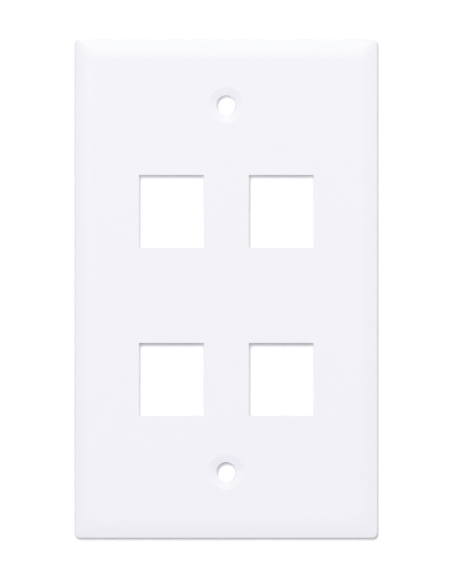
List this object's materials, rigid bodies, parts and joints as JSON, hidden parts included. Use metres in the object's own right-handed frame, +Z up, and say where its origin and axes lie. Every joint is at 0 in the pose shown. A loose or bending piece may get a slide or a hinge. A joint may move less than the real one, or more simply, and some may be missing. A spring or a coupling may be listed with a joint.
{
  "type": "modular wall plate",
  "caption": "Upright bevelled wall plate for a single-gang box, with square ports that take snap-in keystone jacks and dished holes for its fixing screws.",
  "frame": {"origin": "midway between the two screw holes, on the plane of the back of the rim, which lies on the wall", "axes": "+Z up, +Y into the wall, +X to the right seen from the front; the front faces -Y"},
  "size_m": [0.0688, 0.0099, 0.1134],
  "materials": {
    "white_plastic": "smooth satin, moulded in white"
  },
  "bodies": {
    "root": {"wall_plate": "white_plastic"}
  },
  "joints": []
}
